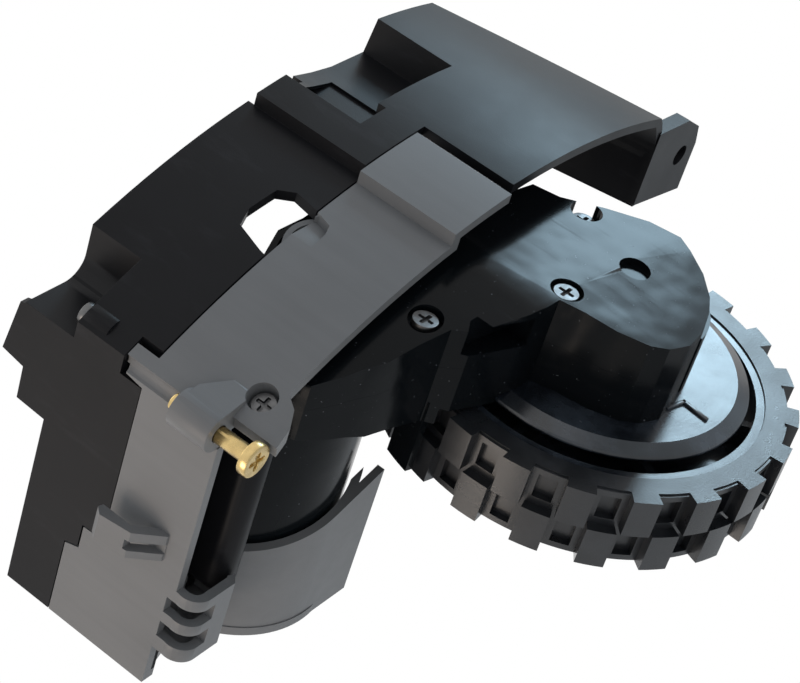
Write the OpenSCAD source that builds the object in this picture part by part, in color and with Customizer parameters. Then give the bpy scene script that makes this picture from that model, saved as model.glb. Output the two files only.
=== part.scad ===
// Robot vacuum wheel module: a geared swing arm with its drive wheel, hung in a curved corner shell.
// It is modelled from the centre of the wheel, which hangs at its lower stop: X towards the motor,
// Y outboard along the wheel axis, Z up in the robot. place() then moves the whole module so that
// its origin is the hole of the chassis lug, on the lug's lower face.

/* [Shown] */
// Node to draw, or all of them

/* [Robot body] */
// Radius of the robot's outer wall
wall_r = 144.3; // [130:0.1:160]
// How far the raised band stands proud of the outer wall
band_rise = 2.4; // [1.5:0.1:4]
// Robot centre from the wheel centre along X
robot_x = 0.5; // [-3:0.1:3]
// How far the outer wall stands out from the middle of the wheel
wall_y = 33; // [30:0.1:36]
// Thickness of the shell walls
wall_t = 1.8; // [1.2:0.1:2.2]
// Flat side face at the motor end
side_x = 74.4; // [70:0.1:80]
// Inboard end of the motor bay
bay_y = -45; // [-50:0.5:-44]
// Lower edge of the frame
frame_z = 20; // [17:0.1:21]
// Seam between the grey frame and the black shell
seam_z = 40.2; // [38:0.1:41]
// Upper edge of the outer wall
top_z = 65.3; // [62:0.1:68]
// Gap left between the frame and the shell at their seams
seam_gap = 0.15; // [0.1:0.05:0.4]

/* [Arch] */
// Lower edge of the wheel arch
arch_z = 21.3; // [20.5:0.1:24]
// Inner face of the far wall at its lower edge
far_x = -42.4; // [-45:0.1:-42]
// Lean of the far wall
far_lean = 12.5; // [5:0.5:15]
// Corner radius of the arch
far_corner_r = 17; // [8:0.5:18]
// Inboard edge of the arch
arch_y = 8.8; // [8.4:0.1:12]
// Height of the ledge in the arch
ledge_z = 49.2; // [48:0.1:51]

/* [Lug] */
// Lug hole along X
lug_x = -54.6; // [-56:0.1:-53]
// Lug hole along Y
lug_y = 16.1; // [14:0.1:18]
// Lug thickness
lug_t = 3; // [2:0.1:4]
// Lug hole radius
lug_hole_r = 2.1; // [1.6:0.1:2.6]

/* [Arm] */
// Slope of the arm below horizontal at the lower stop
arm_slope = 42.4; // [38:0.1:46]
// Swing from the lower stop to the upper one
arm_travel = 33; // [20:1:33]
// Extra gap to the outer wall at the lower stop
low_gap = 1.1; // [0.5:0.1:2]
// Outboard face of the gearbox cover
cover_y = 27.3; // [27:0.1:27.8]
// Seam between the cover and the case at the hub
split_y = 18.5; // [17.8:0.1:19]
// Seam between the cover and the case at the motor end
split_end_y = 10.5; // [9.5:0.1:12]
// Underside of the case at the hub
case_y = 10; // [9.8:0.1:10.4]
// Wall thickness of the gearbox
box_t = 1.5; // [1.2:0.1:1.8]
// Gap between the gearbox and the robot's outer wall
sweep_gap = 0.9; // [0.6:0.1:1.5]
// Radius of the flange disc at the wheel
flange_r = 26.6; // [24:0.1:27.2]
// Radius of the outboard pivot stub
stub_r = 3; // [2.5:0.1:3.4]

/* [Motor] */
// Radius of the motor housing
barrel_r = 17; // [16:0.1:17.3]
// Radius of the motor can
can_r = 13.8; // [12:0.1:14.5]
// Inboard end of the motor housing
barrel_y = -36; // [-38:0.5:-34]
// Inner radius of the grey cradle under the motor
cradle_r = 17.5; // [17.4:0.1:18]
// Radius of the motor shaft
shaft_r = 1; // [0.8:0.05:1.2]

/* [Gears] */
// Pressure angle of every gear
press = 25; // [20:1:28]
// Play between the teeth of two gears at the pitch circle
backlash = 0.12; // [0.05:0.01:0.2]
// Width of the motor pinion and its mate
stage1_w = 3; // [2:0.1:3.4]
// Width of the second pair
stage2_w = 2.2; // [1.8:0.1:2.3]
// Width of the third pair
stage3_w = 3; // [2:0.1:3.2]
// Width of the planetary set
stage4_w = 3.6; // [3:0.1:4]
// Running clearance of a bore on its pin
run_gap = 0.05; // [0.02:0.01:0.1]
// Radius of the gear pins
pin_r = 1.5; // [1.2:0.05:1.6]

/* [Wheel] */
// Radius over the tread lugs
wheel_r = 36; // [35:0.1:36.4]
// Width of the tread
tread_w = 14.8; // [13:0.1:15]
// Lugs in each row
lug_n = 20; // [16:1:24]
// Angle covered by a lug
lug_deg = 8; // [6:0.5:9]
// Height of the lugs over the tread floor
lug_h = 2; // [1:0.1:2.6]
// Radius of the pockets in the tread
pocket_r = 32.6; // [32.2:0.1:33.2]
// Inner radius of the tyre's side face
tyre_r = 29.9; // [29:0.1:30.4]
// Radius of the rim seat under the tyre
seat_r = 31.2; // [30.8:0.1:31.6]

/* [Hidden] */
$fn = 96;
lug_seat_z = 21;
robot_y = wall_r - wall_y;
cx = robot_x;
cy = -robot_y;
band_r = wall_r + band_rise;
inner_r = wall_r - wall_t;

// Tooth counts and modules of the four stages
motor_n = 12;
first_n = 40;
first_m = 0.6;
second_p = 15;
second_n = 36;
second_m = 0.7;
third_p = 24;
third_n = 32;
third_m = 0.8;
sun_n = 12;
planet_n = 15;
ring_n = 42;
sun_m = 0.6;

// Centre distances
d1 = first_m * (motor_n + first_n) / 2;
d2 = second_m * (second_p + second_n) / 2;
d3 = third_m * (third_p + third_n) / 2;
d4 = sun_m * (sun_n + planet_n) / 2;

// Arm axes: a point is given along the arm from the wheel and across it
arm_len = 54.9;
function arm(u, n) = [u * cos(arm_slope) - n * sin(arm_slope), u * sin(arm_slope) + n * cos(arm_slope)];
pivot = arm(arm_len, 0);
second_off = 4;
c2 = arm(sqrt(d3 * d3 - second_off * second_off), second_off);
dist = norm(pivot - c2);
along = (d2 * d2 - d1 * d1 + dist * dist) / (2 * dist);
across = sqrt(d2 * d2 - along * along);
way = (pivot - c2) / dist;
c1 = c2 + along * way + across * [way[1], -way[0]];
function bearing_of(a, b) = atan2(b[1] - a[1], b[0] - a[0]);

// Layers of the gearbox along Y
first_y = 13.5;
third_y = 17.7;
second_y = 20.9;
planet_y = 13.2;
planet_a = 90;
bush_r = stub_r + 1.2;
bracket_r = bush_r + 1;
pocket_wall_r = bracket_r + 1.5;
roof_y = cover_y - box_t;
floor_y = case_y + 1.4;

black = [0.05, 0.05, 0.055];
gloss = [0.03, 0.03, 0.035];
grey = [0.26, 0.26, 0.28];
steel = [0.7, 0.7, 0.72];
brass = [0.75, 0.6, 0.3];
nylon = [0.85, 0.84, 0.8];

module place() {
    translate([-lug_x, -lug_y, -lug_seat_z]) children();
}

// An outline drawn in X and Z, as thick as y0 to y1
module slab(y0, y1) {
    translate([0, y1, 0]) rotate([90, 0, 0]) linear_extrude(y1 - y0) children();
}

// A round bar along Y at a point of the X-Z plane
module bar(p, r, y0, y1) {
    translate([p[0], y0, p[1]]) rotate([-90, 0, 0]) cylinder(r = r, h = y1 - y0);
}

// A cone along Y
module taper(p, r0, r1, y0, y1) {
    translate([p[0], y0, p[1]]) rotate([-90, 0, 0]) cylinder(r1 = r0, r2 = r1, h = y1 - y0);
}

// A box given by its two corners
module box(a, b) {
    translate(a) cube(b - a);
}

// A solid disc of the robot's plan
module plan_disc(r, z0, z1) {
    translate([cx, cy, z0]) cylinder(r = r, h = z1 - z0, $fn = 360);
}

// A curved wall of the robot's plan between two X values
module curved_wall(r, t, x0, x1, z0, z1) {
    intersection() {
        difference() {
            plan_disc(r, z0, z1);
            plan_disc(r - t, z0 - 1, z1 + 1);
        }
        box([x0, 0, z0 - 1], [x1, 60, z1 + 1]);
    }
}

/* Gear outlines */
function inv(a) = tan(a) * 180 / PI - a;
function flank(rb, r) = r <= rb ? 0 : inv(acos(rb / r));

// Points of a gear: pitch radius p, root and tip radii, half tooth angle at the pitch circle
function gear_points(n, m, root, tip, half) = [
    for (i = [0:n - 1])
        for (s = [-1, 1])
            for (k = [0:3])
                let (p = n * m / 2, rb = p * cos(press),
                    q = s < 0 ? k : 3 - k,
                    r = root + (tip - root) * q / 3,
                    a = 360 * i / n + s * (half + flank(rb, p) - flank(rb, r)))
                [r * cos(a), r * sin(a)]];

module gear_outline(n, m, turn) {
    p = n * m / 2;
    half = 90 / n - backlash / 2 / p * 180 / PI / 2;
    rotate(turn) polygon(gear_points(n, m, p - 1.2 * m, p + 0.9 * m, half));
}

// Turn that puts a tooth at an angle, and one that puts a gap there
function tooth_at(a) = a;
function gap_at(n, a) = a + 180 / n;

module gear(c, n, m, turn, y0, y1) {
    translate([c[0], 0, c[1]]) slab(y0, y1) gear_outline(n, m, turn);
}

// Outline of the arm in X and Z at the lower stop
arm_points = [[19, 2.8], [17.6, -1.6], [16.5, -7.5], [14.3, -12.9], [11.9, -15.3], [7.9, -16.8],
    [2.8, -16.2], [-2.5, -14.1], [-6.1, -11.9], [-10.3, -7.8], [-13.5, -3], [-15, 0.1],
    [-13.9, 6], [-10.1, 12.8], [-5.4, 19.6], [-4.2, 24.6], [0.2, 25.4], [9.5, 36.5],
    [15, 40.8], [24, 42.3], [36, 43.1], [40.5, 44.3], [45.5, 42.6], [50.5, 40.4], [60, 38], [60.8, 28],
    [59, 20], [54.7, 17.1], [51.4, 15.5], [48.6, 13.7], [43, 12.3], [37.5, 10.6], [35.3, 7.3],
    [26.2, 3.7], [23, 3]];

module arm_outline() {
    polygon(arm_points);
}

// Space inside the outer wall for the arm when it is swung up by an angle, drawn in by inset
module sweep(angle, inset) {
    r = inner_r - sweep_gap - inset - (angle == 0 ? low_gap : 0);
    translate([pivot[0], 0, pivot[1]]) rotate([0, -angle, 0])
        translate([cx - pivot[0], cy, -120]) cylinder(r = r, h = 300, $fn = 360);
}

// Everything on the case side of the split, moved outboard by d
module case_side(d) {
    a = arm(-40, 0);
    rotate([0, -arm_slope, 0]) translate([0, 0, 100]) rotate([180, 0, 0]) linear_extrude(200)
        polygon([[-60, 60], [-60, -split_y - d], [26, -split_y - d], [60, -split_end_y - d],
            [90, -split_end_y - d], [90, 60]]);
}

// Screw places on the cover
screw_spots = [[38.5, 15, 22.8], [15.6, 3.6, cover_y - 1.6], [-6.2, 14.4, 24.2]];

// Solid form of the whole gearbox before it is hollowed
module box_form() {
    difference() {
        intersection() {
            slab(5, cover_y) arm_outline();
            sweep(0, 0);
            sweep(arm_travel, 0);
        }
        bar([0, 0], 37.2, 0, 8.3);
        bar([0, 0], 27.2, 0, case_y);
    }
}

module box_hollow() {
    difference() {
        intersection() {
            union() {
                slab(floor_y, roof_y) offset_in();
                bar(pivot, 5.2, 6.6, roof_y);
            }
            sweep(0, box_t);
            sweep(arm_travel, box_t);
        }
        bar([0, 0], 38.7, 0, 9.8);
    }
}

// Inner outline of the gearbox: round rooms for the gears joined by straight ones
module offset_in() {
    circle(r = 15.2);
    translate(c2) circle(r = 14);
    translate(c1) circle(r = 13.2);
    translate(pivot) circle(r = 5.2);
    polygon([arm(0, -12.6), arm(22, -9.4), arm(39, -13.6), arm(55, -12), arm(60, -6), arm(55, 4),
        arm(39, 11), arm(24, 15), arm(8, 14.8)]);
}

module pin_boss(c, y0, y1) {
    bar(c, 3, y0, y1);
}

module gearbox_case() color(gloss) place() {
    difference() {
        union() {
            intersection() {
                difference() {
                    box_form();
                    box_hollow();
                }
                case_side(0);
            }
            pin_boss(c1, floor_y - 0.2, first_y - 0.4);
            pin_boss(c2, floor_y - 0.2, first_y + 1);
            wheel_guard();
        }
        bar(pivot, 5, 4, 8);
        bar([0, 0], 6.5, 8, 14);
        bar(c1, pin_r, 10.6, 16);
        bar(c2, pin_r, 10.6, 16);
        for (s = screw_spots) bar([s[0], s[1]], 1.1, 9, 27);
        for (a = [-30, 210]) bar(pivot + 8.5 * [cos(a), sin(a)], 1.3, 4, 8);
    }
}

// Curved guard between the tyre and the motor
module wheel_guard() {
    difference() {
        intersection() {
            difference() {
                bar([0, 0], 38.8, -5.9, 9);
                bar([0, 0], 37.4, -9, 10);
            }
            slab(-8, 9) polygon([[0, 0], [60, 16.2], [60, 26]]);
        }
        bar(pivot, barrel_r + 0.4, -10, 5);
    }
}

module cover_shell() {
    difference() {
        intersection() {
            difference() {
                box_form();
                box_hollow();
            }
            difference() {
                box([-80, 0, -60], [120, 60, 120]);
                case_side(0.02);
            }
        }
        clip_opening();
        bar(pivot, pocket_wall_r - 0.6, 18, 40);
    }
}

// Round pocket in the cover that takes the frame's pivot bracket
module pivot_pocket() {
    difference() {
        intersection() {
            bar(pivot, pocket_wall_r, 17.1, cover_y);
            sweep(0, 0.02);
            sweep(arm_travel, 0.02);
        }
        bar(pivot, bracket_r + 0.6, 18.6, 40);
    }
    bar(pivot, stub_r, 18.2, 22.8);
}

module gearbox_cover() color(gloss) place() {
    difference() {
        union() {
            cover_shell();
            pin_boss(c1, second_y + stage2_w + 0.3, roof_y - 1);
            pin_boss(c2, second_y + stage2_w + 0.3, roof_y + 0.2);
            pin_boss([0, 0], third_y + stage3_w + 0.3, roof_y + 0.2);
            intersection() {
                slab(20, 26) arm_outline();
                bar([-6.2, 14.4], 3.8, 21.7, 24.6);
            }
        }
        bar(c1, pin_r, 20, second_y + stage2_w + 1.2);
        bar(c2, pin_r, 20, roof_y + 0.3);
        bar([0, 0], pin_r, 20, roof_y - 0.5);
        bar([0, 0], 2.8, roof_y + 0.3, 30);
        for (s = screw_spots) {
            bar([s[0], s[1]], 1.4, 9, 40);
            bar([s[0], s[1]], 2.9, s[2], 40);
        }
    }
    pivot_pocket();
}

// Opening in the flank of the cover for the snap of the case
module clip_opening() {
    slab(split_y + 1.5, cover_y - 1.8) polygon([[23.6, 8], [23.8, 4.4], [26, 0], [40, 6], [34, 9.6]]);
}

module flange_disc() color(gloss) place() {
    difference() {
        union() {
            bar([0, 0], flange_r, 8, 8.8);
            taper([0, 0], flange_r, flange_r - 2.6, 8.8, case_y);
        }
        bar([0, 0], 6.5, 7, 11);
    }
}

module screw_y(c, head_y, tip_y, r, head_r, head_h) {
    difference() {
        union() {
            bar(c, r, tip_y, head_y);
            bar(c, head_r, head_y, head_y + head_h);
        }
        translate([c[0], head_y + head_h, c[1]]) {
            cube([head_r * 1.3, 1.4, head_r * 0.3], center = true);
            cube([head_r * 0.3, 1.4, head_r * 1.3], center = true);
        }
    }
}

module gearbox_screws() color(steel) place() {
    for (s = screw_spots) screw_y([s[0], s[1]], s[2], 12.5, 1.1, 2.2, 1.1);
}

module gear_pins() color(steel) place() {
    bar(c1, pin_r, 10.6, second_y + stage2_w + 1.2);
    bar(c2, pin_r, 10.6, roof_y + 0.3);
    bar([0, 0], pin_r, planet_y + 0.3, roof_y - 0.5);
}

module output_bearing() color(steel) place() {
    difference() {
        bar([0, 0], 6.5, 8, floor_y);
        bar([0, 0], 4 + run_gap, 7, 14);
    }
}

module ring_gear() color(nylon) place() {
    difference() {
        bar([0, 0], 14.4, floor_y, planet_y + stage4_w + 0.4);
        slab(floor_y - 1, 30) {
            p = ring_n * sun_m / 2;
            rotate(planet_a) polygon(gear_points(ring_n, sun_m, p - 0.9 * sun_m, p + 1.2 * sun_m,
                90 / ring_n + backlash / p * 15));
        }
    }
}

module planet_gear(k) {
    a = planet_a + 120 * k;
    c = d4 * [cos(a), sin(a)];
    difference() {
        gear(c, planet_n, sun_m, gap_at(planet_n, a + 180), planet_y, planet_y + stage4_w);
        bar(c, 1.6 + run_gap, 10, 20);
    }
}

module planet_gear_1() color(nylon) place() planet_gear(0);
module planet_gear_2() color(nylon) place() planet_gear(1);
module planet_gear_3() color(nylon) place() planet_gear(2);

module planet_carrier() color(steel) place() {
    difference() {
        union() {
            bar([0, 0], 11.4, floor_y + 0.2, planet_y - 0.2);
            bar([0, 0], 4, -3, floor_y + 0.4);
            for (k = [0:2]) bar(d4 * [cos(planet_a + 120 * k), sin(planet_a + 120 * k)], 1.6,
                floor_y + 0.4, planet_y + stage4_w + 0.5);
        }
        bar([0, 0], 1.25, -4, 5);
        box([-5, -4, 2.9], [5, 4, 5]);
    }
}

module sun_gear() color(nylon) place() {
    difference() {
        union() {
            gear([0, 0], sun_n, sun_m, tooth_at(planet_a), planet_y + 0.1, third_y + 0.5);
            gear([0, 0], third_n, third_m, gap_at(third_n, bearing_of([0, 0], c2)), third_y,
                third_y + stage3_w);
            bar([0, 0], 3.6, third_y + stage3_w - 0.1, third_y + stage3_w + 0.2);
        }
        bar([0, 0], pin_r + run_gap, 10, 30);
    }
}

module compound_gear_2() color(nylon) place() {
    difference() {
        union() {
            bar(c2, 3.4, floor_y + 3.2, third_y + 0.1);
            gear(c2, third_p, third_m, tooth_at(bearing_of(c2, [0, 0])), third_y,
                third_y + stage3_w);
            bar(c2, 8.4, third_y + stage3_w - 0.1, second_y + 0.1);
            gear(c2, second_n, second_m, gap_at(second_n, bearing_of(c2, c1)), second_y,
                second_y + stage2_w);
        }
        bar(c2, pin_r + run_gap, 10, 30);
    }
}

module compound_gear_1() color(nylon) place() {
    difference() {
        union() {
            gear(c1, first_n, first_m, gap_at(first_n, bearing_of(c1, pivot)), first_y,
                first_y + stage1_w);
            bar(c1, 3.4, first_y + stage1_w - 0.1, second_y + 0.1);
            gear(c1, second_p, second_m, tooth_at(bearing_of(c1, c2)), second_y,
                second_y + stage2_w);
        }
        bar(c1, pin_r + run_gap, 10, 30);
    }
}

module motor_rotor() color(steel) place() {
    bar(pivot, shaft_r, -32.4, 16.8);
    bar(pivot, 3.4, -30.4, -24);
    gear(pivot, motor_n, first_m, tooth_at(bearing_of(pivot, c1)), first_y - 0.2,
        first_y + stage1_w + 0.2);
    slab(-22, 0) translate(pivot) {
        circle(r = 4);
        for (a = [0:60:300]) rotate(a) {
            translate([3, -0.9]) square([6.2, 1.8]);
            intersection() {
                difference() {
                    circle(r = 10.6);
                    circle(r = 8.6);
                }
                polygon([[0, 0], [14, -6], [14, 6]]);
            }
        }
    }
}

module motor_housing() color(gloss) place() {
    difference() {
        bar(pivot, barrel_r, barrel_y, 5);
        bar(pivot, can_r + 0.02, barrel_y + 2, 4);
        bar(pivot, 5, 0, 6);
        for (a = [-30, 210]) bar(pivot + 8.5 * [cos(a), sin(a)], 1.3, 3, 6);
        bar(pivot, 9, barrel_y - 1, barrel_y + 3);
    }
}

module motor_can() color(steel) place() {
    difference() {
        union() {
            bar(pivot, can_r, -29, 4);
            bar(pivot, 5, 4, 6.4);
        }
        bar(pivot, can_r - 1, -30, 2.8);
        bar(pivot, shaft_r + run_gap, 2, 8);
    }
}

module motor_end_cap() color(black) place() {
    difference() {
        union() {
            bar(pivot, can_r, -34, -29);
            bar(pivot, 7.6, -44.9, -34);
        }
        bar(pivot, shaft_r + run_gap, -33, -28);
        bar(pivot, can_r - 1.6, -31.6, -28);
        for (x = [-3.4, 3.4]) box([pivot[0] + x - 1.3, -46, pivot[1] - 0.3],
            [pivot[0] + x + 1.3, -31, pivot[1] + 0.3]);
    }
}

module motor_terminals() color(brass) place() {
    for (x = [-3.4, 3.4]) box([pivot[0] + x - 1.3, -47, pivot[1] - 0.3],
        [pivot[0] + x + 1.3, -32, pivot[1] + 0.3]);
}

/* Tyre and wheel */
module lug_row(y0, y1, shift) {
    intersection() {
        difference() {
            bar([0, 0], wheel_r, y0, y1);
            bar([0, 0], pocket_r, y0 - 1, y1 + 1);
        }
        slab(y0 - 1, y1 + 1) for (i = [0:lug_n - 1]) rotate(-(i * 360 / lug_n + shift))
            polygon([[0, 0], 50 * [cos(lug_deg / 2), sin(lug_deg / 2)],
                50 * [cos(lug_deg / 2), -sin(lug_deg / 2)]]);
    }
}

module tyre() color(black) place() {
    h = tread_w / 2;
    difference() {
        union() {
            bar([0, 0], wheel_r - lug_h, -h + 0.3, h - 0.3);
            lug_row(0, h, 11.3);
            lug_row(-h, 0, 11.3 + 180 / lug_n);
            bar([0, 0], pocket_r + 0.9, -h, h);
        }
        bar([0, 0], tyre_r, -h - 1, h + 1);
        bar([0, 0], seat_r, -h + 1.4, h - 1.4);
        for (s = [0, 1]) slab(s * h - h + 1.4, s * h - 1.4)
            for (i = [0:lug_n - 1]) rotate(-(i * 360 / lug_n + 11.3 + 180 / lug_n * (2 - s)))
                translate([pocket_r, -1.7]) square([5, 3.4]);
    }
}

module wheel_hub() color(gloss) place() {
    h = tread_w / 2 - 1.4;
    difference() {
        union() {
            difference() {
                bar([0, 0], seat_r, -h, h);
                bar([0, 0], tyre_r - 1.6, -h - 1, h + 1);
            }
            difference() {
                bar([0, 0], tyre_r, -h - 1, h + 1.1);
                bar([0, 0], tyre_r - 1.6, -h - 2, h + 2);
            }
            bar([0, 0], tyre_r - 1, -3.6, -1.6);
            bar([0, 0], 8, -4, 6.4);
            for (a = [0:60:300]) rotate([0, a, 0]) box([6, -2, -0.8], [tyre_r - 1, 3, 0.8]);
        }
        difference() {
            bar([0, 0], 4 + 0.02, -3, 12);
            box([-5, -4, 2.92], [5, 4, 6]);
        }
        bar([0, 0], 1.6, -8, 0);
        bar([0, 0], 3.2, -8, -3.8);
    }
}

module wheel_screw() color(steel) place() {
    difference() {
        union() {
            bar([0, 0], 2.8, -5.2, -3.8);
            bar([0, 0], 1.25, -3.9, 4.4);
        }
        translate([0, -5.2, 0]) {
            cube([3.4, 1.4, 0.8], center = true);
            cube([0.8, 1.4, 3.4], center = true);
        }
    }
}

/* Shell */
// Leaning solid with a rounded corner that bounds the arch, drawn in by s
module lean_form(s) {
    rc = far_corner_r;
    yc = band_r - robot_y + 0.6;
    translate([far_x - wall_t, 0, arch_z]) rotate([0, far_lean, 0]) translate([0, 0, -20])
        linear_extrude(90) {
            translate([s, -60]) square([160, 60 + yc - rc]);
            translate([rc, -60]) square([140, 60 + yc - s]);
            translate([rc, yc - rc]) circle(r = rc - s);
        }
}

module arch_skin() {
    difference() {
        union() {
            intersection() {
                difference() {
                    plan_disc(band_r, arch_z, top_z + 0.7);
                    plan_disc(band_r - wall_t, arch_z - 1, top_z + 2);
                }
                box([far_x - 2, arch_y, 0], [10.3, 60, 100]);
                lean_form(0);
            }
            intersection() {
                difference() {
                    lean_form(0);
                    lean_form(wall_t);
                }
                plan_disc(band_r, arch_z, top_z + 0.7);
                box([far_x - 4, arch_y, 0], [-18, 60, 100]);
            }
        }
        arch_recess();
    }
}

// Outline of the recess in the arch, seen from above, drawn inboard by t
function recess_points(t) = [[19 + t, 60], [19 + t, 33.4 - t], [16 + t, 31.6 - t], [12.2, 30.6 - t],
    [7.5, 29.6 - t], [1.5, 28.7 - t], [-7.9 - t, 28.6 - t], [-9.6 - t, 35], [-9.6 - t, 60]];

module arch_recess() {
    translate([0, 0, ledge_z]) linear_extrude(40) polygon(recess_points(0));
}

module recess_walls() {
    t = 0.8;
    difference() {
        intersection() {
            translate([0, 0, ledge_z - 1.2]) linear_extrude(top_z + 0.7 - ledge_z + 1.2)
                polygon(recess_points(t));
            plan_disc(band_r - 0.1, 0, 100);
        }
        arch_recess();
        box([6.4, 20, ledge_z - 2], [18.2, 33.6, 62.2]);
        box([13, 20, 63.8], [30, 60, 80]);
    }
}

module lug() {
    difference() {
        union() {
            translate([0, 0, lug_seat_z]) linear_extrude(lug_t) {
                polygon([[far_x + 0.4, 9.4], [far_x + 0.4, 25.6], [-53, 24.6], [-58.4, 21.4],
                    [-60, 17], [-60, 6.2]]);
            }
        }
        translate([lug_x, lug_y, 0]) cylinder(r = lug_hole_r, h = 100);
    }
}

// Octagonal window beside the pivot, as an outline in X and Z
module window_outline() {
    polygon([[47.2, 47.4], [48.9, 41.5], [49.4, 38.6], [48.3, 35.7], [39.8, 36.1], [38, 36.8],
        [37.1, 40], [36.3, 45.3], [38, 48], [43.9, 48.6]]);
}

pocket_x = 61.4;
pocket_z = 54.7;
side_y = sqrt(wall_r * wall_r - (side_x - robot_x) * (side_x - robot_x)) - robot_y;

module corner_pocket(s) {
    translate([pocket_x + 4 - s, 9.4 - s + 4, pocket_z - s]) {
        cylinder(r = 4, h = 40);
        translate([0, -4, 0]) cube([30, 30, 40]);
        translate([-4, 0, 0]) cube([30, 30, 40]);
    }
}

// Upright side face of the shell, as an outline in Y and Z
side_upper = [[side_y, 54.9], [8.8, 66.3], [-1.8, 67.9], [-2.6, 63.1], [-9.1, 63], [-9.4, 56.8],
    [bay_y, 56.8], [bay_y, 47.2]];
side_step = [[-29.2, 47.2], [-28.3, 44.5], [-23.6, 44.5], [-23.3, seam_z], [9.3, seam_z]];

module side_plate(points) {
    translate([side_x - wall_t, 0, 0]) rotate([90, 0, 90]) linear_extrude(wall_t) polygon(points);
}

module outer_shell() color(black) place() {
    difference() {
        union() {
            arch_skin();
            recess_walls();
            box([4.5, 27.65, 48.2], [18.9, 28.9, 65.8]);
            lug();
            curved_wall(band_r, wall_t, 18.6, 26, seam_z + seam_gap, 64);
            curved_wall(band_r, wall_t, 10.2, 18.7, seam_z + seam_gap, ledge_z);
            curved_wall(band_r, band_rise + wall_t, 24.2, 26, seam_z + seam_gap, 64);
            curved_wall(wall_r, wall_t, 25.9, side_x, seam_z + seam_gap, top_z);
            side_plate(concat([[side_y, 47]], side_upper, side_step, [[side_y, seam_z]]));
            motor_bay();
            translate([71.2, 12.2, 49.4]) cylinder(r = 2.6, h = 5);
            intersection() {
                difference() {
                    corner_pocket(wall_t);
                    corner_pocket(0);
                }
                plan_disc(wall_r, 0, top_z);
                box([0, 0, 0], [side_x, 60, top_z]);
            }
            fixed_rib();
        }
        intersection() {
            corner_pocket(0);
            box([0, 9.4, 0], [90, 60, 90]);
        }
        slab(20, 40) window_outline();
        box([11.8, 25, 47.6], [18.6, 45, 60]);
        box([70.6, 9.1, 30], [90, 30, 44.7]);
        translate([71.2, 12.2, 49]) cylinder(r = 1.2, h = 20);
    }
}

// Walls of the motor bay that belong to the black shell
module motor_bay() {
    x0 = pivot[0] - 21;
    difference() {
        union() {
            box([x0, bay_y, 55], [side_x - 1, -9.4, 56.8]);
            box([x0, bay_y, 47.2], [side_x - 1, bay_y + wall_t, 56.8]);
            box([x0, -11.2, 47.2], [side_x - 1, -9.4, 56.8]);
            box([x0, bay_y, 47.2], [x0 + wall_t, -9.4, 56.8]);
            box([64, -11.2, 47], [side_x - 1, 12, 48.6]);
        }
        bar(pivot, barrel_r + 0.8, -60, 30);
        bar(pivot, 19.6, -60, -42.9);
    }
}

// Boss on the frame's wall with the bore for the outboard pivot bush
module pivot_bracket() {
    intersection() {
        bar(pivot, bracket_r, 19, 40);
        difference() {
            plan_disc(wall_r - 0.5, 0, 100);
            bar(pivot, bush_r, 0, 60);
        }
        union() {
            plan_disc(inner_r - seam_gap, 0, 100);
            plan_disc(wall_r, 0, seam_z - seam_gap);
        }
    }
}

rib_x = 62.8;
rib_y = -25;
rib_z = 24.4;
rib_r = 3.2;

// Rounded rib between the motor and the side face, grown by d
module rib_form(d) {
    translate([rib_x - rib_r - d, rib_y, rib_z]) cube([2 * (rib_r + d), 4.4 - rib_y, 55.4 - rib_z]);
    translate([rib_x, rib_y, rib_z]) {
        rotate([-90, 0, 0]) cylinder(r = rib_r + d, h = 4.4 - rib_y);
        cylinder(r = rib_r + d, h = 55.4 - rib_z);
        sphere(r = rib_r + d);
    }
}

module fixed_rib() {
    rib_form(0);
    box([rib_x, -8, 47], [side_x - 1, 4.4, 48.6]);
}

module chassis_frame() color(grey) place() {
    z1 = seam_z - seam_gap;
    difference() {
        union() {
            curved_wall(wall_r, wall_t, 25.9, side_x, frame_z, z1);
            curved_wall(band_r, wall_t, 12.6, 27.6, frame_z, z1);
            curved_wall(band_r, band_rise + wall_t, 25.6, 27.6, frame_z, z1);
            intersection() {
                curved_wall(wall_r, wall_t, 71.8, side_x, frame_z, 44.5);
                box([71.8, 0, 0], [side_x, 60, 60]);
            }
            side_plate(concat([[side_y, 24], [side_y, 44.5], [9.9, 43.5], [9.3, z1],
                [-23.5, z1], [-23.8, 44.2], [-28.5, 44.2], [-29.4, 47], [bay_y, 47],
                [bay_y, 25.6], [-36, 25.6], [-36, 24], [-24, 24]], []));
            tray();
            end_wall();
            cradle();
            screw_boss();
            latch();
            on_boss(-5.2, 4.6) circle(r = 3.5);
        }
        bar(pivot, barrel_r + 0.4, -43.2, 6);
        on_boss(-8, 12) circle(r = 1.15);
        on_boss(-3.4, 12) circle(r = 2.6);
        translate([74.9, 11.7, 0]) cylinder(r = 1.6, h = 60);
        translate([74.9, 11.7, 10]) cylinder(r = 3.4, h = 14.2);
        slab(26.5, 40) window_outline();
        side_cuts();
    }
    pivot_bracket();
    bearing_plate();
}

// An outline on the small screw boss of the outer wall, from depth z0 and h thick
module on_boss(z0, h) {
    translate([67.6, 16.4, 22.9]) rotate([-90, 0, -28]) translate([0, 0, z0])
        linear_extrude(h) children();
}

// Section of the tray under the motor bay, as an outline in X and Z drawn in by s
module tray_section(s) {
    translate([71.1, 22.7]) circle(r = 3.4 - s);
    translate([60, 22.7]) square([side_x - 60 - s, 5]);
    translate([65, 19.3 + s]) square([6.1, 6]);
    polygon([[57.5 + s, 30], [57.5 + s, 26], [65, 19.3 + s], [66, 30]]);
}

module tray() {
    difference() {
        slab(-36.4, -22.5) tray_section(0);
        slab(-34.8, -20) tray_section(1.7);
        rib_form(0.5);
        bar(pivot, cradle_r + 0.5, -60, 0);
    }
}

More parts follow.
